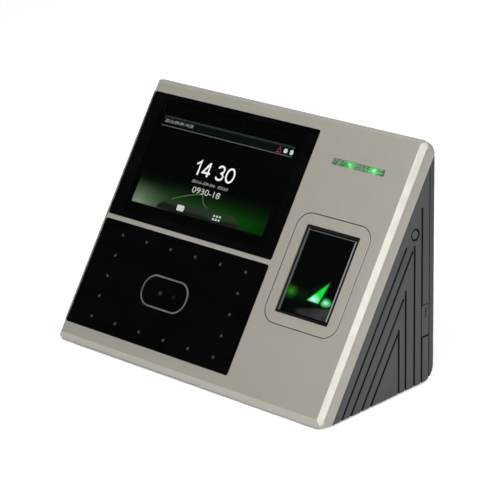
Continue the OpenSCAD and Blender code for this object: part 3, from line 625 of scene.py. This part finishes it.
def in_groove(centre, normal):
    """Floors and walls of the grooves in the case's two sides, which get the painted groove shade.
    """
    sunk = SIDE_X - abs(centre.x)
    facing = abs(normal.x) < 0.2 and abs(normal.z) < 0.98 or sunk > 0.0006
    return 0.0002 < sunk < 0.001 and centre.z > SHELL_FOOT + 0.0004 and facing


def on_cover_edge(centre, normal):
    """The socket cover's upper edge and the walls of its finger groove, which get the painted
    groove shade.
    """
    return abs(normal.x) < 0.9 and centre.x > SIDE_X - 0.0012 and centre.z > 0.0355


def on_outer_wall(centre, normal):
    """The surround's outer wall and rounded edge, which lie in the shadow of its seam."""
    sideways = centre - (ACROSS * SENSOR_X + UP * SENSOR_S + OUT * centre.dot(OUT))
    outward = sideways.dot(normal) > 0
    return outward and normal.dot(OUT) < 0.9 and FACE_H - centre.dot(OUT) < 0.004


def on_lit_lip(centre, normal):
    """The frame's inner wall that faces right, and so catches the light; it gets a lighter painted
    highlight.
    """
    return normal.x > 0.5 and centre.x < SENSOR_X and FACE_H - centre.dot(OUT) < 0.016


(_, SIDE_X), (SHELL_FOOT, _) = spans("rear_shell", ACROSS, Vector((0, 0, 1)))
softened(
    "front_bezel",
    SILVER,
    0.25,
    others=(WINDOW_POCKET_SHADE, SEAM),
    choose=shell_paint,
    fillet=round_an_opening("screen_window", "camera_window"),
)
softened("rear_shell", DARK, 0.18, others=(GROOVE_SHADOW,), choose=in_groove, crisp=True)
softened("rear_cover", COVER, 0.25)
softened(
    "sensor_surround",
    SILVER,
    0.25,
    others=(SEAM,),
    choose=on_outer_wall,
    fillet=round_an_opening("sensor_prism"),
)
# The window's back lies in the touch panel's plane, so it is drawn a hair in front of it
glass = softened("screen_window", SMOKED_SCREEN, 0.12)
((GLASS_BACK, _),) = spans("screen_window", OUT)
HAIR, NEAR = 0.03 * MM, 0.01 * MM
for vert in glass.data.vertices:
    if vert.co.dot(OUT) < GLASS_BACK + NEAR:
        vert.co += OUT * HAIR
softened("camera_window", SMOKED_CAMERA, 0.12)
softened("wall_bracket", SATIN_STEEL, 0.15)
softened("usb_cover", DARK, 0.15, others=(GROOVE_SHADOW,), choose=on_cover_edge, crisp=True)
softened("power_button", SWITCH, 0.3)
softened("sensor_housing", SENSOR_FRAME, 0.12, others=(SENSOR_LIP_HIGHLIGHT,), choose=on_lit_lip)
softened("indicator_board", BOARD, 0.1)


def shortening(node):
    """A copy of a coil spring in the CAD node's place, with a mesh of its own."""
    obj = in_place_of(node, as_object(node + "_coil", welded(node), BRIGHT_STEEL, 40))
    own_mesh(obj)


shortening("button_spring")
shortening("tamper_spring")

for node, material in {
    "camera_trim": TRIM,
    "light_shroud": BLACK_INNER,
    "light_board": BOARD,
    "display_bracket": SATIN_STEEL,
    "main_board": BOARD,
    "processor_shield": TIN,
    "lock_relay": RELAY,
    "clock_battery": BATTERY,
    "ethernet_jack": TIN,
    "power_inlet": SWITCH,
    "terminal_header": HEADER,
    "usb_socket": TIN,
    "usb_board": BOARD,
    "usb_hinge_pin": BRIGHT_STEEL,
    "power_switch": SWITCH,
    "button_board": BOARD,
    "tamper_plunger": NYLON,
    "tamper_switch": SWITCH,
    "tamper_board": BOARD,
    "speaker": CONE,
    "rubber_feet": RUBBER,
    "cover_screws": BLACK_OXIDE,
    "bezel_screws": BRIGHT_STEEL,
    "board_screws": BRIGHT_STEEL,
    "screen_ribbon": FILM,
    "camera_ribbon": FILM,
    "sensor_ribbon": FILM,
}.items():
    dress(node, material)


# ---------------------------------------------------------------- screen
def clear_glass(name, alpha, color):
    t = Tree(name)
    cloud = t.noise(40, 2.0)
    return t.finish(
        color=t.mix(cloud, color, [c * 1.2 for c in color]),
        rough=t.remap(cloud, 0.3, 0.7, 0.04, 0.07),
        specular=0.1,
        alpha=alpha,
    )


def unlit_panel():
    t = Tree("screen_glass")
    cells = t.noise(4000, 1.0)
    return t.finish(
        color=t.mix(cells, (0.0008, 0.0008, 0.0008), (0.0016, 0.0016, 0.0018)),
        rough=t.remap(cells, 0.3, 0.7, 0.35, 0.45),
        specular=0.08,
    )


dress("touch_panel", clear_glass("touch_glass", 0.05, (0.004, 0.004, 0.004)))
dress("screen_module", unlit_panel())

# The picture's place on the panel, in mm from the panel's lower left corner.
(LCD_X0, _), (LCD_S0, _), (_, LCD_H) = spans("screen_module", ACROSS, UP, OUT)
PICTURE = (1.9, 5.8)
PICTURE_W, PICTURE_H = 98.0, 55.1
picture_at = face_matrix(LCD_X0 + PICTURE[0] * MM, LCD_S0 + PICTURE[1] * MM, FACE_H - LCD_H)
# What the two sheets in front of the picture let through, made up for
SCREEN_GAIN = 1 / ((1 - SCREEN_ALPHA) * 0.95) ** 2


def landscape():
    """The lit picture: dim green land under a black sky, paler at the lower left."""
    t = Tree("screen_landscape")
    where = t.add("SeparateXYZ", {0: t.place()}).outputs
    x = t.math("DIVIDE", where[0], MM)
    y = t.math("DIVIDE", where[1], MM)
    mist = t.noise(120, 3.0, 0.6, at=t.stretched(0.5, 1, 1))
    rise = t.math("POWER", t.remap(y, 6.5, 19.0, 1, 0), 2.0)
    foot = t.remap(y, 0.4, 1.4, 0, 1)
    east = t.remap(x, 62.0, 96.0, 1, 0.42)
    power = t.math("MULTIPLY", t.math("MULTIPLY", rise, foot), east)
    power = t.math("MULTIPLY", power, t.remap(mist, 0.3, 0.7, 0.8, 1.15))
    lit_side = t.math("POWER", t.remap(x, 6.0, 44.0, 1, 0), 3.0)
    pale = t.math("MULTIPLY", lit_side, t.math("POWER", t.remap(y, 1.0, 14.5, 1, 0), 1.7))
    green = t.mix(t.remap(x, 60.0, 84.0, 0, 1), (0.009, 0.042, 0.007), (0.001, 0.06, 0.001))
    land = t.mix(power, (0, 0, 0), green)
    land = t.mix(pale, land, (0.17, 0.225, 0.15))
    band = t.math("MULTIPLY", t.remap(y, 46.0, 46.6, 0, 1), t.remap(y, 50.6, 51.3, 1, 0))
    land = t.mix(band, land, t.mix(mist, (0.0007, 0.002, 0.0018), (0.0014, 0.0048, 0.0042)))
    return t.finish(
        color=t.mix(mist, (0.0004, 0.0004, 0.0004), (0.001, 0.001, 0.001)),
        rough=t.remap(mist, 0.3, 0.7, 0.35, 0.45),
        specular=0.08,
        glow=land,
        glow_strength=SCREEN_GAIN,
    )


def ink(name, color):
    """A lit part of the picture, in the light that should leave the front window."""
    return lit(name, color, SCREEN_GAIN, (0.001, 0.001, 0.001), rough=0.4)


WHITE_INK = ink("screen_white", (0.93, 0.95, 0.93))
SOFT_INK = ink("screen_soft", (0.6, 0.65, 0.6))
GREY_INK = ink("screen_grey", (0.4, 0.42, 0.4))
LINE_INK = ink("screen_line", (0.12, 0.13, 0.13))
HAZE_INK = ink("screen_haze", (0.013, 0.024, 0.023))
RED_INK = ink("screen_red", (0.2, 0.035, 0.04))

plates(
    "screen_picture",
    [rounded(PICTURE_W / 2, PICTURE_H / 2, PICTURE_W, PICTURE_H, 0.4)],
    0.02,
    picture_at,
    landscape(),
    thick=0.015,
)
FAR_HILLS = [
    (20.5, 2.0), (22.5, 5.0), (27.5, 6.9), (36, 7.3), (46, 6.4), (56, 6.9), (66, 6.5), (74, 7.0),
    (77.5, 5.2), (78.5, 3.2), (60, 3.0), (40, 2.4),
]
NEAR_HILLS = [
    (19, 0.5), (20, 2.6), (23, 3.9), (27, 4.0), (33, 3.6), (38, 2.6), (44, 2.3), (52, 2.8),
    (58, 1.9), (66, 1.8), (71, 2.8), (76, 3.5), (78.5, 3.2), (80.5, 1.2), (82.5, 0.5),
]
FAR_INK = ink("screen_far", (0.016, 0.03, 0.014))
NEAR_INK = ink("screen_near", (0.006, 0.008, 0.004))
plates("screen_far_hills", [FAR_HILLS], 0.03, picture_at, FAR_INK, thick=0.008)
plates("screen_near_hills", [NEAR_HILLS], 0.042, picture_at, NEAR_INK, thick=0.008)


def lines(name, routes, width, z, material):
    """One piece of several drawn lines; each route is (points, closed)."""
    bm = bmesh.new()
    for i, (route, closed) in enumerate(routes):
        ribbon(bm, route, width, z + 0.012 * i, closed)
    obj = as_object(name, bm, material)
    obj.matrix_world = picture_at
    return new_piece(obj, "case")


lines(
    "screen_ridges",
    [
        (bend((28.0, 7.0), (37, 11.6), (47.8, 13.8)), False),
        (bend((48.4, 13.8), (49.6, 8.8), (54.6, 7.4)), False),
    ],
    0.6,
    0.045,
    ink("screen_ridge", (0.085, 0.135, 0.06)),
)

# Clock figures, drawn as lines: one, four, three and nought
FOUR_X, THREE_X, NOUGHT = 46.0, 54.6, (61.95, 27.65)
lines(
    "clock_figures",
    [
        ([(36.1, 29.6), (37.6, 30.3), (38.9, 31.6), (38.9, 23.6)], False),
        ([(47.7, 25.7), (42.0, 25.7), (45.7, 31.4)], False),
        ([(FOUR_X, 31.8), (FOUR_X, 23.6)], False),
        (arc(THREE_X, 29.6, 2.15, 2.0, 165, -90, 12), False),
        (arc(THREE_X, 25.75, 2.5, 1.95, 90, -165, 14), False),
        (arc(*NOUGHT, 2.75, 3.85, 0, 360, 28)[:-1], True),
    ],
    1.1,
    0.05,
    WHITE_INK,
)


def numerals(name, text, height, left, foot, width, material):
    """A row of plain figures as a flat piece of the screen's picture."""
    curve = bpy.data.curves.new(name, "FONT")
    curve.body = text
    holder = bpy.data.objects.new(name + "_curve", curve)
    bpy.context.scene.collection.objects.link(holder)
    bpy.context.view_layer.update()
    shaped = holder.evaluated_get(bpy.context.evaluated_depsgraph_get())
    bm = bmesh.new()
    bm.from_mesh(bpy.data.meshes.new_from_object(shaped))
    bpy.data.objects.remove(holder)
    bmesh.ops.remove_doubles(bm, verts=bm.verts, dist=1e-5)
    xs = [v.co.x for v in bm.verts]
    ys = [v.co.y for v in bm.verts]
    scale_x = width * MM / (max(xs) - min(xs))
    scale_y = height * MM / (max(ys) - min(ys))
    for v in bm.verts:
        x = (v.co.x - min(xs)) * scale_x + left * MM
        v.co = (x, (v.co.y - min(ys)) * scale_y + foot * MM, 0.06 * MM)
    made = bmesh.ops.extrude_face_region(bm, geom=list(bm.faces))
    for g in made["geom"]:
        if isinstance(g, bmesh.types.BMVert):
            g.co.z -= 0.01 * MM
    obj = as_object(name, bm, material)
    obj.matrix_world = picture_at
    return new_piece(obj, "case")


numerals("status_time", "20:16-09-04 14:30", 1.9, 1.8, 47.9, 21.6, GREY_INK)
numerals("date_figures", "2016-09-04  0930", 1.7, 37.0, 19.0, 26.8, GREY_INK)
numerals("entry_figures", "0930-18", 3.4, 39.6, 13.6, 20.6, SOFT_INK)

plates("status_line", [rounded(49, 45.9, 97.6, 0.4, 0.15)], 0.045, picture_at, LINE_INK, thick=0.01)
plates("status_haze", [rounded(49, 51.2, 97.6, 1.2, 0.4)], 0.04, picture_at, HAZE_INK, thick=0.01)
lines(
    "status_alert",
    [([(86.2, 46.9), (89.2, 46.9), (87.9, 49.9)], True)],
    0.5,
    0.05,
    RED_INK,
)
plates(
    "status_marks",
    [rounded(92.3, 48.3, 2.5, 2.4, 0.7), rounded(96.5, 48.3, 2.3, 2.6, 0.6)],
    0.055,
    picture_at,
    SOFT_INK,
    thick=0.01,
)
icons = [rounded(36.4, 3.4, 5.4, 3.3, 0.7)]
for i in range(3):
    for j in range(2):
        icons.append(rounded(63.6 + 2.1 * (i - 1), 3.4 + 1.9 * (j - 0.5), 1.3, 1.1, 0.2))
plates("screen_icons", icons, 0.07, picture_at, SOFT_INK, thick=0.01)


# ---------------------------------------------------------------- lamps, lenses, sensor
def bright_tip(name, node, color, strength, reach, base):
    """Dark body whose foremost cap glows with a painted glint."""
    (front,) = spans(node, OUT)
    top = FACE_H - front[1]
    t = Tree(name)
    cloud = t.noise(900, 2.0)
    cap = t.remap(t.depth(), top + reach * 0.5 * MM, top + reach * MM, 1, 0)
    return t.finish(
        color=t.mix(cloud, base, [c * 1.5 for c in base]),
        rough=t.remap(cloud, 0.3, 0.7, 0.15, 0.3),
        glow=t.mix(cloud, color, [c * 0.8 for c in color]),
        glow_strength=t.math("MULTIPLY", cap, strength),
    )


def lens_glint(name, node, color, strength, reach):
    """Dark barrel with a painted glint: the glass glows at its middle."""
    x0, s0 = centre_on_face(node)
    t = Tree(name)
    cloud = t.noise(800, 2.0)
    u = t.math("SUBTRACT", t.along(ACROSS), x0)
    v = t.math("SUBTRACT", t.along(UP), s0)
    far = t.math("SQRT", t.math("ADD", t.math("MULTIPLY", u, u), t.math("MULTIPLY", v, v)))
    middle = t.math("POWER", t.remap(far, 0.0, reach * MM, 1, 0), 0.8)
    middle = t.math("MULTIPLY", middle, t.remap(cloud, 0.35, 0.65, 0.5, 1.2))
    return t.finish(
        color=t.mix(cloud, (0.008, 0.008, 0.009), (0.016, 0.016, 0.018)),
        rough=t.remap(cloud, 0.3, 0.7, 0.15, 0.3),
        specular=0.2,
        glow=t.mix(cloud, color, [c * 0.8 for c in color]),
        glow_strength=t.math("MULTIPLY", middle, strength),
    )


# The LED tips' glints are painted light, glowing on their caps
dress(
    "infrared_leds",
    bright_tip("infrared_tip_glint", "infrared_leds", (0.5, 0.5, 0.52), 1.35, 0.36, (0.03, 0.028, 0.032)),
)
# The lenses' glints are painted light, glowing at the glass's middle
dress("color_camera", lens_glint("bright_lens_glint", "color_camera", (0.5, 0.53, 0.55), 1.15, 1.7))
dress("infrared_camera", lens_glint("dim_lens_glint", "infrared_camera", (0.45, 0.5, 0.5), 0.45, 1.3))

LENS_X, LENS_S = centre_on_face("indicator_lens")


def indicator_glow():
    """Green bar painted to glow as if lit from behind, with two hot spots where the lamps sit
    behind it.
    """
    t = Tree("indicator_green")
    where = t.add("SeparateXYZ", {0: t.place()}).outputs
    cloud = t.noise(700, 3.0, 0.6)
    wide = tight = None
    height = t.math("SUBTRACT", t.along(UP), LENS_S)
    for offset, strength in ((-5.85, 0.8), (10.4, 1.0)):
        u = t.math("SUBTRACT", where[0], LENS_X + offset * MM)
        v = t.math("MULTIPLY", height, 1.3)
        away = t.math("SQRT", t.math("ADD", t.math("MULTIPLY", u, u), t.math("MULTIPLY", v, v)))
        soft, core = (
            t.math("MULTIPLY", t.math("POWER", t.remap(away, 0.0, r * MM, 1, 0), 1.5), strength)
            for r in (6.0, 2.6)
        )
        wide = soft if wide is None else t.math("ADD", wide, soft)
        tight = core if tight is None else t.math("ADD", tight, core)
    wide = t.math("MULTIPLY", wide, t.remap(cloud, 0.3, 0.7, 0.65, 1.2))
    edge = t.add("Attribute", attribute_name="edge").outputs["Fac"]
    speckle = t.remap(cloud, 0.42, 0.6, 0, 1)
    base = t.mix(speckle, (0.03, 0.075, 0.04), (0.13, 0.21, 0.13))
    return t.finish(
        color=t.mix(edge, base, (0.01, 0.025, 0.012)),
        rough=t.remap(cloud, 0.3, 0.7, 0.2, 0.3),
        glow=t.mix(tight, (0.02, 0.72, 0.12), (0.16, 1.0, 0.3)),
        glow_strength=t.math("ADD", wide, 0.015),
    )


softened("indicator_lens", indicator_glow(), 0.25)
dress("indicator_leds", lit("lamp_chip", (0.1, 0.9, 0.4), 1.0, (0.6, 0.7, 0.6)))
dress("sensor_lights", lit("sensor_chip", (0.1, 0.9, 0.5), 0.02, (0.008, 0.014, 0.01)))
dress("sensor_camera", BLACK_INNER)

PRISM_ALPHA = 0.8
GLASS_TOP = FACE_H - spans("sensor_prism", OUT)[0][1]


def prism_glass():
    """Dark polished glass with painted light on its top: the lamps' green light thrown up low down
    in it, painted as glowing reflections.
    """
    t = Tree("prism_glass")
    smear = t.noise(160, 4.0, 0.6)
    x = t.math("DIVIDE", t.math("SUBTRACT", t.along(ACROSS), SENSOR_X), MM)
    y = t.math("DIVIDE", t.math("SUBTRACT", t.along(UP), SENSOR_S), MM)

    def beside(a, b, soft):
        """1 to the left of the line from a to b, fading over soft mm."""
        length = math.hypot(b[0] - a[0], b[1] - a[1])
        nx, ny = -(b[1] - a[1]) / length, (b[0] - a[0]) / length
        gone = t.math("ADD", t.math("MULTIPLY", x, nx), t.math("MULTIPLY", y, ny))
        return t.remap(gone, nx * a[0] + ny * a[1], nx * a[0] + ny * a[1] + soft, 0, 1)

    def spot(cx, cy, rx, ry, power):
        u = t.math("DIVIDE", t.math("SUBTRACT", x, cx), rx)
        v = t.math("DIVIDE", t.math("SUBTRACT", y, cy), ry)
        far = t.math("SQRT", t.math("ADD", t.math("MULTIPLY", u, u), t.math("MULTIPLY", v, v)))
        return t.math("POWER", t.remap(far, 0.0, 1.0, 1, 0), power)

    def times(*values):
        result = values[0]
        for value in values[1:]:
            result = t.math("MULTIPLY", result, value)
        return result

    # The bright wedge: foot left, foot right and tip, in mm from the window's middle
    left, right, tip = (-1.7, -14.2), (7.2, -14.5), (10.2, -0.3)
    wedge = times(
        beside(left, right, 0.9),
        beside(right, tip, 0.8),
        beside(tip, left, 1.0),
        t.remap(y, tip[1], tip[1] - 6.0, 0.25, 1),
    )
    lobe = times(spot(11.1, -12.6, 4.6, 2.7, 0.7), beside((6.9, -15.0), (9.4, -9.0), -1.6))
    blob = spot(-12.8, -11.8, 6.8, 5.2, 2.4)
    faint = times(spot(-4.0, -12.0, 12.0, 6.0, 2.0), 0.3)
    haze = t.math("ADD", spot(5.5, -10.5, 7.5, 7.5, 1.8), faint)
    shelf = times(
        beside((-9.0, -19.6), (15.6, -14.4), -1.2),
        beside((-8.0, -20.0), (-6.0, -25.0), 4.0),
        t.remap(x, -8.0, 12.0, 0.35, 1),
        t.remap(smear, 0.3, 0.7, 0.7, 1.1),
    )
    # Painted light: the lamps' green reflections and a pale grey band, glowing on the glass
    hot = t.math("MAXIMUM", spot(2.9, -12.9, 4.6, 3.4, 0.9), spot(11.3, -12.8, 3.6, 2.0, 0.9))
    green = t.mix(hot, (0.008, 0.72, 0.045), (0.5, 1.0, 0.92))
    light = t.mix(times(blob, t.remap(smear, 0.3, 0.7, 0.7, 1.1)), (0, 0, 0), (0.03, 0.3, 0.012))
    light = t.mix(times(haze, 0.3), light, (0.0, 0.16, 0.012))
    light = t.mix(times(shelf, 0.9), light, (0.042, 0.043, 0.044))
    light = t.mix(t.math("MAXIMUM", wedge, lobe, clamp=True), light, green)
    # Only the glass's top shows the light, so that its lower sides don't show it twice
    on_top = t.remap(t.depth(), GLASS_TOP + 0.2 * MM, GLASS_TOP + 0.4 * MM, 1, 0)
    return t.finish(
        color=t.mix(smear, (0.0006, 0.0007, 0.0007), (0.0016, 0.0018, 0.0018)),
        rough=t.remap(smear, 0.3, 0.7, 0.06, 0.14),
        specular=0.25,
        alpha=PRISM_ALPHA,
        glow=light,
        glow_strength=t.math("DIVIDE", on_top, PRISM_ALPHA),
    )


def ground_edge():
    """The prism's ground rim: near black but for a thin grey line by the glass's top, a painted
    highlight.
    """
    t = Tree("ground_glass")
    grain = t.noise(1800, 3.0, 0.6)
    # The thin band that shows the painted highlight
    highlight_band = t.remap(t.depth(), GLASS_TOP + 0.35 * MM, GLASS_TOP + 0.5 * MM, 1, 0)
    ground = t.mix(grain, (0.06, 0.06, 0.06), (0.16, 0.16, 0.165))
    return t.finish(
        color=t.mix(highlight_band, (0.003, 0.003, 0.003), ground),
        rough=t.remap(grain, 0.3, 0.7, 0.4, 0.6),
        normal=t.bump(grain, 0.3, 0.00005),
    )


def on_rim(centre, normal):
    """Left, right and upper chamfer of the prism, which take the painted highlight."""
    return 0.3 < normal.dot(OUT) < 0.9 and normal.dot(UP) > -0.3


softened("sensor_prism", prism_glass(), 0.06, others=(ground_edge(),), choose=on_rim)

# ---------------------------------------------------------------- stage, light and camera
CAMERA_AT = Vector((0.7730, -0.8119, 0.4623))
AZIMUTH, ELEVATION, ROLL = 43.2, 19.57, -1.19
LENS_MM, SHIFT = 160.72, (-0.0057, -0.0045)


def aim(azimuth, elevation):
    """Direction from the object towards a point at this azimuth and elevation."""
    a, e = math.radians(azimuth), math.radians(elevation)
    return Vector((math.sin(a) * math.cos(e), -math.cos(a) * math.cos(e), math.sin(e)))


camera_data = bpy.data.cameras.new("camera")
camera_data.lens = LENS_MM
camera_data.sensor_width = 36.0
camera_data.shift_x, camera_data.shift_y = SHIFT
camera_data.clip_start = 0.05
camera_data.clip_end = 30
camera = bpy.data.objects.new("camera", camera_data)
bpy.context.scene.collection.objects.link(camera)
look = (-aim(AZIMUTH, ELEVATION)).to_track_quat("-Z", "Y")
camera.rotation_mode = "QUATERNION"
camera.rotation_quaternion = look @ Matrix.Rotation(math.radians(ROLL), 3, "Z").to_quaternion()
camera.location = CAMERA_AT
bpy.context.scene.camera = camera


def studio_floor():
    """A wide pale sheet that curves up behind the object."""
    bm = bmesh.new()
    near, far, radius, top, half, steps = -6.0, 2.2, 1.6, 6.0, 8, 12
    profile = [(near, 0.0), (far, 0.0)]
    for k in range(1, steps + 1):
        a = math.radians(90 * k / steps)
        profile.append((far + radius * math.sin(a), radius - radius * math.cos(a)))
    profile.append((far + radius, top))
    rows = []
    turn = Matrix.Rotation(math.radians(AZIMUTH), 3, "Z")
    for along, high in profile:
        rows.append([bm.verts.new(turn @ Vector((side, along, high))) for side in (-half, half)])
    for a, b in zip(rows, rows[1:]):
        bm.faces.new((a[0], a[1], b[1], b[0]))
    t = Tree("studio_paper")
    cloud = t.noise(3, 2.0)
    away = t.along(turn @ Vector((0, 1, 0)))
    paper = t.finish(
        color=t.mix(cloud, (0.86, 0.86, 0.86), (0.9, 0.9, 0.9)),
        rough=t.remap(cloud, 0.3, 0.7, 0.8, 0.9),
        glow=(1, 1, 1),
        glow_strength=t.remap(away, 0.3, 2.0, 0.2, 0.5),
    )
    obj = as_object("studio_floor", bm, paper)


studio_floor()


def softbox(name, azimuth, elevation, distance, size, power, color=(1, 1, 1)):
    """A soft rectangular light that faces the object, distance metres away."""
    data = bpy.data.lights.new(name, "AREA")
    data.shape = "RECTANGLE"
    data.size, data.size_y = size
    data.energy = power
    data.color = color
    obj = bpy.data.objects.new(name, data)
    bpy.context.scene.collection.objects.link(obj)
    target = Vector((0, 0, 0.06))
    obj.location = target + aim(azimuth, elevation) * distance
    obj.rotation_mode = "QUATERNION"
    obj.rotation_quaternion = aim(azimuth, elevation).to_track_quat("Z", "Y")


softbox("key_high", 10, 50, 1.0, (0.6, 0.6), 7.9)
softbox("key_low", 5, 12, 1.0, (0.5, 0.4), 1.4)
softbox("strip_right", 57, 28, 1.5, (0.2, 1.1), 18, (0.94, 0.97, 1.03))
softbox("rim_back", 165, 35, 1.8, (1.2, 0.8), 9)
softbox("top_back", 195, 60, 1.5, (1.0, 0.6), 5)

world = bpy.data.worlds.new("studio")
world.use_nodes = True
world.node_tree.nodes["Background"].inputs[0].default_value = (1, 1, 1, 1)
world.node_tree.nodes["Background"].inputs[1].default_value = 0.04
bpy.context.scene.world = world
bpy.context.scene.view_settings.view_transform = "Standard"
